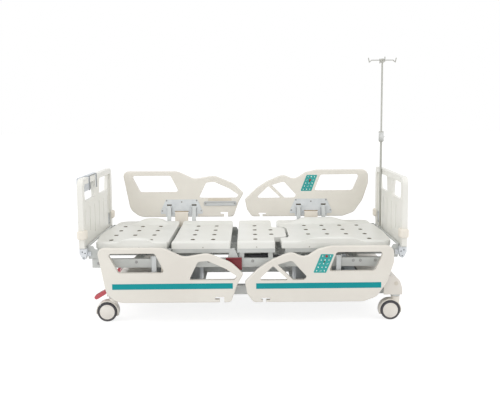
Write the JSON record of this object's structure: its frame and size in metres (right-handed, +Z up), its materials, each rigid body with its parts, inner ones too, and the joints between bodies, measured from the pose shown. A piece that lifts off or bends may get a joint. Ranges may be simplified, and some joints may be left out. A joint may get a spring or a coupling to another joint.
{
  "type": "electric hospital bed",
  "caption": "Electric ward bed with a sectioned lying surface, split folding side rails, lift-off end boards, lifting columns, braked casters and an infusion pole.",
  "frame": {"origin": "on the floor, at mid length and mid width of the bed", "axes": "+X towards the head end, +Y towards the far side, which carries the infusion pole, +Z up"},
  "size_m": [2.1578, 1.052, 1.707],
  "materials": {
    "rail_plastic": "satin",
    "surface_plastic": "satin",
    "board_plastic": "satin",
    "bumper_plastic": "satin",
    "cover_plastic": "satin",
    "frame_paint": "satin",
    "cast_silver": "satin",
    "column_metal": "satin",
    "bright_steel": "polished",
    "box_plastic": "satin",
    "caster_plastic": "satin",
    "tyre_rubber": "matte",
    "disc_plastic": "satin",
    "brake_red": "satin",
    "release_red": "satin",
    "dark_plastic": "matte",
    "actuator_grey": "satin"
  },
  "bodies": {
    "base": {"base_frame": "frame_paint", "base_covers": "cover_plastic", "control_box": "box_plastic", "column_outers": "column_metal"},
    "brake": {"brake_pedals": "brake_red"},
    "fork_near_foot": {"caster_hood_near_foot": "caster_plastic"},
    "wheels_near_foot": {"caster_tyres_near_foot": "tyre_rubber", "caster_discs_near_foot": "disc_plastic"},
    "fork_far_foot": {"caster_hood_far_foot": "caster_plastic"},
    "wheels_far_foot": {"caster_tyres_far_foot": "tyre_rubber", "caster_discs_far_foot": "disc_plastic"},
    "fork_near_head": {"caster_hood_near_head": "caster_plastic"},
    "wheels_near_head": {"caster_tyres_near_head": "tyre_rubber", "caster_discs_near_head": "disc_plastic"},
    "fork_far_head": {"caster_hood_far_head": "caster_plastic"},
    "wheels_far_head": {"caster_tyres_far_head": "tyre_rubber", "caster_discs_far_head": "disc_plastic"},
    "foot_middle": {"foot_column_middle": "column_metal"},
    "foot_inner": {"foot_column_inner": "column_metal", "foot_pivot_pin": "bright_steel"},
    "deck": {"deck_frame": "frame_paint", "corner_brackets": "cast_silver", "seat_panel": "surface_plastic", "actuator_housings": "actuator_grey", "cable_conduit": "dark_plastic"},
    "head_middle": {"head_column_middle": "column_metal"},
    "head_inner": {"head_column_inner": "column_metal"},
    "carriage": {"back_carriage": "frame_paint"},
    "back": {"back_frame": "frame_paint", "back_panel": "surface_plastic"},
    "thigh": {"thigh_frame": "frame_paint", "thigh_panel": "surface_plastic"},
    "leg": {"leg_frame": "frame_paint", "leg_panel": "surface_plastic"},
    "back_rod": {"back_push_rod": "bright_steel"},
    "knee_rod": {"knee_push_rod": "bright_steel"},
    "cpr": {"cpr_handle": "release_red"},
    "arms_far_foot": {"rail_arms_far_foot": "cast_silver"},
    "rail_far_foot": {"rail_panel_far_foot": "rail_plastic", "rail_plate_far_foot": "cast_silver"},
    "link_far_foot": {"rail_link_far_foot": "bumper_plastic"},
    "arms_far_head": {"rail_arms_far_head": "cast_silver"},
    "rail_far_head": {"rail_panel_far_head": "rail_plastic", "rail_plate_far_head": "cast_silver"},
    "link_far_head": {"rail_link_far_head": "bumper_plastic"},
    "arms_near_foot": {"rail_arms_near_foot": "cast_silver"},
    "rail_near_foot": {"rail_panel_near_foot": "rail_plastic", "rail_plate_near_foot": "cast_silver"},
    "link_near_foot": {"rail_link_near_foot": "bumper_plastic"},
    "arms_near_head": {"rail_arms_near_head": "cast_silver"},
    "rail_near_head": {"rail_panel_near_head": "rail_plastic", "rail_plate_near_head": "cast_silver"},
    "link_near_head": {"rail_link_near_head": "bumper_plastic"},
    "head_board": {"head_board": "board_plastic", "head_bumpers": "bumper_plastic"},
    "foot_board": {"foot_board": "board_plastic", "foot_bumpers": "bumper_plastic"},
    "nurse_panel": {"nurse_panel": "box_plastic"},
    "pole_lower": {"iv_pole_lower": "bright_steel"},
    "pole_upper": {"iv_pole_upper": "bright_steel"}
  },
  "joints": [
    {"name": "swivel_near_foot", "type": "hinge", "parent": "base", "child": "fork_near_foot", "pos_m": [-0.84, -0.403, 0.17], "axis": [0, 0, 1], "continuous": true},
    {"name": "spin_near_foot", "type": "hinge", "parent": "fork_near_foot", "child": "wheels_near_foot", "pos_m": [-0.876, -0.403, 0.0625], "axis": [0, 1, 0], "continuous": true},
    {"name": "swivel_far_foot", "type": "hinge", "parent": "base", "child": "fork_far_foot", "pos_m": [-0.84, 0.403, 0.17], "axis": [0, 0, 1], "continuous": true},
    {"name": "spin_far_foot", "type": "hinge", "parent": "fork_far_foot", "child": "wheels_far_foot", "pos_m": [-0.876, 0.403, 0.0625], "axis": [0, 1, 0], "continuous": true},
    {"name": "swivel_near_head", "type": "hinge", "parent": "base", "child": "fork_near_head", "pos_m": [0.979, -0.403, 0.17], "axis": [0, 0, 1], "continuous": true},
    {"name": "spin_near_head", "type": "hinge", "parent": "fork_near_head", "child": "wheels_near_head", "pos_m": [0.943, -0.403, 0.0625], "axis": [0, 1, 0], "continuous": true},
    {"name": "swivel_far_head", "type": "hinge", "parent": "base", "child": "fork_far_head", "pos_m": [0.979, 0.403, 0.17], "axis": [0, 0, 1], "continuous": true},
    {"name": "spin_far_head", "type": "hinge", "parent": "fork_far_head", "child": "wheels_far_head", "pos_m": [0.943, 0.403, 0.0625], "axis": [0, 1, 0], "continuous": true},
    {"name": "brake_pedal", "type": "hinge", "parent": "base", "child": "brake", "pos_m": [-0.893, 0, 0.187], "axis": [0, 1, 0], "range_deg": [-12, 12]},
    {"name": "bed_lift", "type": "slide", "parent": "base", "child": "foot_inner", "axis": [0, 0, 1], "range_m": [0, 0.12]},
    {"name": "foot_stage", "type": "slide", "parent": "base", "child": "foot_middle", "axis": [0, 0, 1], "range_m": [0, 0.06]},
    {"name": "deck_tilt", "type": "hinge", "parent": "foot_inner", "child": "deck", "pos_m": [-0.45, 0, 0.39], "axis": [0, -1, 0], "range_deg": [0, 7.2]},
    {"name": "head_stage", "type": "slide", "parent": "base", "child": "head_middle", "axis": [0, 0, 1], "range_m": [0, 0.12]},
    {"name": "head_top_stage", "type": "slide", "parent": "head_middle", "child": "head_inner", "axis": [0, 0, 1], "range_m": [0, 0.1205]},
    {"name": "back_slide", "type": "slide", "parent": "deck", "child": "carriage", "axis": [1, 0, 0], "range_m": [0, 0.1101]},
    {"name": "back_rest", "type": "hinge", "parent": "carriage", "child": "back", "pos_m": [0.28, 0, 0.459], "axis": [0, -1, 0], "range_deg": [0, 70]},
    {"name": "back_drive", "type": "slide", "parent": "deck", "child": "back_rod", "axis": [1, 0, 0], "range_m": [0, 0.2476]},
    {"name": "knee_rest", "type": "hinge", "parent": "deck", "child": "thigh", "pos_m": [-0.066, 0, 0.459], "axis": [0, 1, 0], "range_deg": [0, 35]},
    {"name": "leg_fold", "type": "hinge", "parent": "thigh", "child": "leg", "pos_m": [-0.468, 0, 0.459], "axis": [0, 1, 0], "range_deg": [-66, 0]},
    {"name": "knee_drive", "type": "slide", "parent": "deck", "child": "knee_rod", "axis": [-1, 0, 0], "range_m": [0, 0.0569]},
    {"name": "release_plate", "type": "hinge", "parent": "deck", "child": "cpr", "pos_m": [-0.06, -0.461, 0.412], "axis": [-1, 0, 0], "range_deg": [0, 18], "stiffness_Nm_per_rad": 0.4, "springref_deg": -11.46},
    {"name": "rail_swing_far_foot", "type": "hinge", "parent": "deck", "child": "arms_far_foot", "pos_m": [-0.471, 0.458, 0.421], "axis": [-1, 0, 0], "range_deg": [0, 170]},
    {"name": "rail_level_far_foot", "type": "hinge", "parent": "arms_far_foot", "child": "rail_far_foot", "pos_m": [-0.471, 0.47541, 0.62], "axis": [-1, 0, 0], "range_deg": [-170, 0]},
    {"name": "rail_link_far_foot", "type": "hinge", "parent": "deck", "child": "link_far_foot", "pos_m": [-0.471, 0.458, 0.376], "axis": [-1, 0, 0], "range_deg": [0, 170]},
    {"name": "rail_swing_far_head", "type": "hinge", "parent": "deck", "child": "arms_far_head", "pos_m": [0.51, 0.458, 0.421], "axis": [-1, 0, 0], "range_deg": [0, 170]},
    {"name": "rail_level_far_head", "type": "hinge", "parent": "arms_far_head", "child": "rail_far_head", "pos_m": [0.51, 0.47541, 0.62], "axis": [-1, 0, 0], "range_deg": [-170, 0]},
    {"name": "rail_link_far_head", "type": "hinge", "parent": "deck", "child": "link_far_head", "pos_m": [0.51, 0.458, 0.376], "axis": [-1, 0, 0], "range_deg": [0, 170]},
    {"name": "rail_swing_near_foot", "type": "hinge", "parent": "deck", "child": "arms_near_foot", "pos_m": [-0.471, -0.458, 0.421], "axis": [-1, 0, 0], "range_deg": [0, 170]},
    {"name": "rail_level_near_foot", "type": "hinge", "parent": "arms_near_foot", "child": "rail_near_foot", "pos_m": [-0.471, -0.47541, 0.222], "axis": [-1, 0, 0], "range_deg": [-170, 0]},
    {"name": "rail_link_near_foot", "type": "hinge", "parent": "deck", "child": "link_near_foot", "pos_m": [-0.471, -0.458, 0.376], "axis": [-1, 0, 0], "range_deg": [0, 170]},
    {"name": "rail_swing_near_head", "type": "hinge", "parent": "deck", "child": "arms_near_head", "pos_m": [0.51, -0.458, 0.421], "axis": [-1, 0, 0], "range_deg": [0, 170]},
    {"name": "rail_level_near_head", "type": "hinge", "parent": "arms_near_head", "child": "rail_near_head", "pos_m": [0.51, -0.47541, 0.222], "axis": [-1, 0, 0], "range_deg": [-170, 0]},
    {"name": "rail_link_near_head", "type": "hinge", "parent": "deck", "child": "link_near_head", "pos_m": [0.51, -0.458, 0.376], "axis": [-1, 0, 0], "range_deg": [0, 170]},
    {"name": "head_board_lift", "type": "slide", "parent": "deck", "child": "head_board", "axis": [0, 0, 1], "range_m": [0, 0.08]},
    {"name": "foot_board_lift", "type": "slide", "parent": "deck", "child": "foot_board", "axis": [0, 0, 1], "range_m": [0, 0.08]},
    {"name": "nurse_panel_lift", "type": "slide", "parent": "foot_board", "child": "nurse_panel", "axis": [0, 0, 1], "range_m": [0, 0.12]},
    {"name": "pole_lift", "type": "slide", "parent": "deck", "child": "pole_lower", "axis": [0, 0, 1], "range_m": [0, 0.08]},
    {"name": "pole_extend", "type": "slide", "parent": "pole_lower", "child": "pole_upper", "axis": [0, 0, 1], "range_m": [-0.48, 0.05]}
  ],
  "couplings": [
    {"joint": "foot_stage", "follows": "bed_lift", "ratio": 0.5},
    {"joint": "head_stage", "follows": "bed_lift", "ratio": 1},
    {"joint": "head_top_stage", "follows": "deck_tilt", "m_per_rad": 0.957},
    {"joint": "back_slide", "follows": "back_rest", "m_per_rad": 0.09},
    {"joint": "back_drive", "follows": "back_rest", "m_per_rad": 0.2025},
    {"joint": "leg_fold", "follows": "knee_rest", "ratio": -1.8843},
    {"joint": "knee_drive", "follows": "knee_rest", "m_per_rad": 0.093},
    {"joint": "rail_level_far_foot", "follows": "rail_swing_far_foot", "ratio": -1},
    {"joint": "rail_link_far_foot", "follows": "rail_swing_far_foot", "ratio": 1},
    {"joint": "rail_level_far_head", "follows": "rail_swing_far_head", "ratio": -1},
    {"joint": "rail_link_far_head", "follows": "rail_swing_far_head", "ratio": 1},
    {"joint": "rail_level_near_foot", "follows": "rail_swing_near_foot", "ratio": -1},
    {"joint": "rail_link_near_foot", "follows": "rail_swing_near_foot", "ratio": 1},
    {"joint": "rail_level_near_head", "follows": "rail_swing_near_head", "ratio": -1},
    {"joint": "rail_link_near_head", "follows": "rail_swing_near_head", "ratio": 1}
  ]
}
